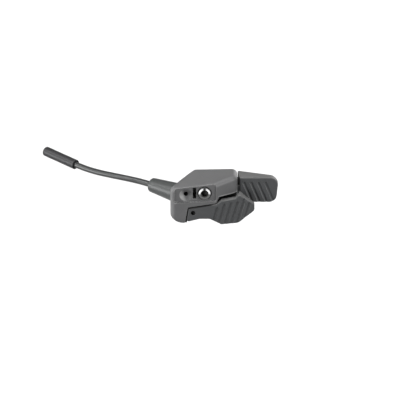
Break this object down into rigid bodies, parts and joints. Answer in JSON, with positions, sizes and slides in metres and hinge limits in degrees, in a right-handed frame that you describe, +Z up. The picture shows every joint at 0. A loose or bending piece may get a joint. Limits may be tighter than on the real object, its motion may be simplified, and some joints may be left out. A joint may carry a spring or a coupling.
{
  "type": "bicycle gear shifter",
  "caption": "Right-hand handlebar shift switch: moulded housing on a clamp bolt, ribbed thumb paddles on sprung pivots, tapered boot and a short lead with a round plug.",
  "frame": {"origin": "on the clamp bolt's axis, in the rear plane that meets the handlebar clamp", "axes": "+X outboard along the bar, +Y forward along the bolt away from the rider, +Z up"},
  "size_m": [0.1242, 0.0757, 0.0238],
  "materials": {
    "housing_plastic": "satin, fine moulded grain",
    "paddle_plastic": "satin, fine moulded grain",
    "boot_rubber": "satin",
    "lead_jacket": "satin",
    "plug_plastic": "satin",
    "inner_plastic": "satin",
    "button_plastic": "satin",
    "bush_polymer": "satin",
    "seal_rubber": "matte",
    "board_laminate": "satin",
    "wire_jacket": "satin",
    "contact_brass": "plated",
    "bolt_steel": "bright",
    "sleeve_aluminium": "turned",
    "pin_steel": "ground",
    "spring_steel": "drawn"
  },
  "bodies": {
    "base": {"base_cover": "housing_plastic", "bolt_sleeve": "sleeve_aluminium", "bolt_washer": "bolt_steel", "cable_boot": "boot_rubber", "cable_crimp": "contact_brass", "circuit_board": "board_laminate", "control_chip": "inner_plastic", "cover_gasket": "seal_rubber", "cover_screws": "pin_steel", "front_lower_bush": "bush_polymer", "front_return_spring": "spring_steel", "front_rod_seal": "seal_rubber", "front_switch": "inner_plastic", "front_upper_bush": "bush_polymer", "lead_cable": "lead_jacket", "lead_tail": "lead_jacket", "lead_wires": "wire_jacket", "main_housing": "housing_plastic", "mounting_bolt": "bolt_steel", "plug_contacts": "contact_brass", "plug_insert": "inner_plastic", "plug_shell": "plug_plastic", "rear_lower_bush": "bush_polymer", "rear_return_spring": "spring_steel", "rear_switch": "inner_plastic", "rear_upper_bush": "bush_polymer"},
    "front_lever": {"front_paddle": "paddle_plastic", "front_pivot_pin": "pin_steel", "front_pin_screw": "pin_steel"},
    "rear_lever": {"rear_paddle": "paddle_plastic", "rear_pivot_pin": "pin_steel"},
    "front_plunger": {"front_push_rod": "pin_steel", "front_switch_button": "button_plastic"},
    "rear_plunger": {"rear_switch_button": "button_plastic"}
  },
  "joints": [
    {"name": "front_paddle_hinge", "type": "hinge", "parent": "base", "child": "front_lever", "pos_m": [-0.00586, -0.014, -0.0104], "axis": [0, 0, 1], "range_deg": [0, 6], "stiffness_Nm_per_rad": 0.1, "springref_deg": -5.73, "deforming": ["front_return_spring"]},
    {"name": "rear_paddle_hinge", "type": "hinge", "parent": "base", "child": "rear_lever", "pos_m": [0.0077, -0.0059, -0.0026], "axis": [0, 0, 1], "range_deg": [0, 6], "stiffness_Nm_per_rad": 0.1, "springref_deg": -5.73, "deforming": ["rear_return_spring"]},
    {"name": "front_plunger_slide", "type": "slide", "parent": "base", "child": "front_plunger", "axis": [0, 1, 0], "range_m": [0, 0.0005]},
    {"name": "rear_plunger_slide", "type": "slide", "parent": "base", "child": "rear_plunger", "axis": [0, 1, 0], "range_m": [0, 0.0005]}
  ],
  "couplings": [
    {"joint": "front_plunger_slide", "follows": "front_paddle_hinge", "m_per_rad": 0.0045},
    {"joint": "rear_plunger_slide", "follows": "rear_paddle_hinge", "m_per_rad": 0.0043}
  ]
}
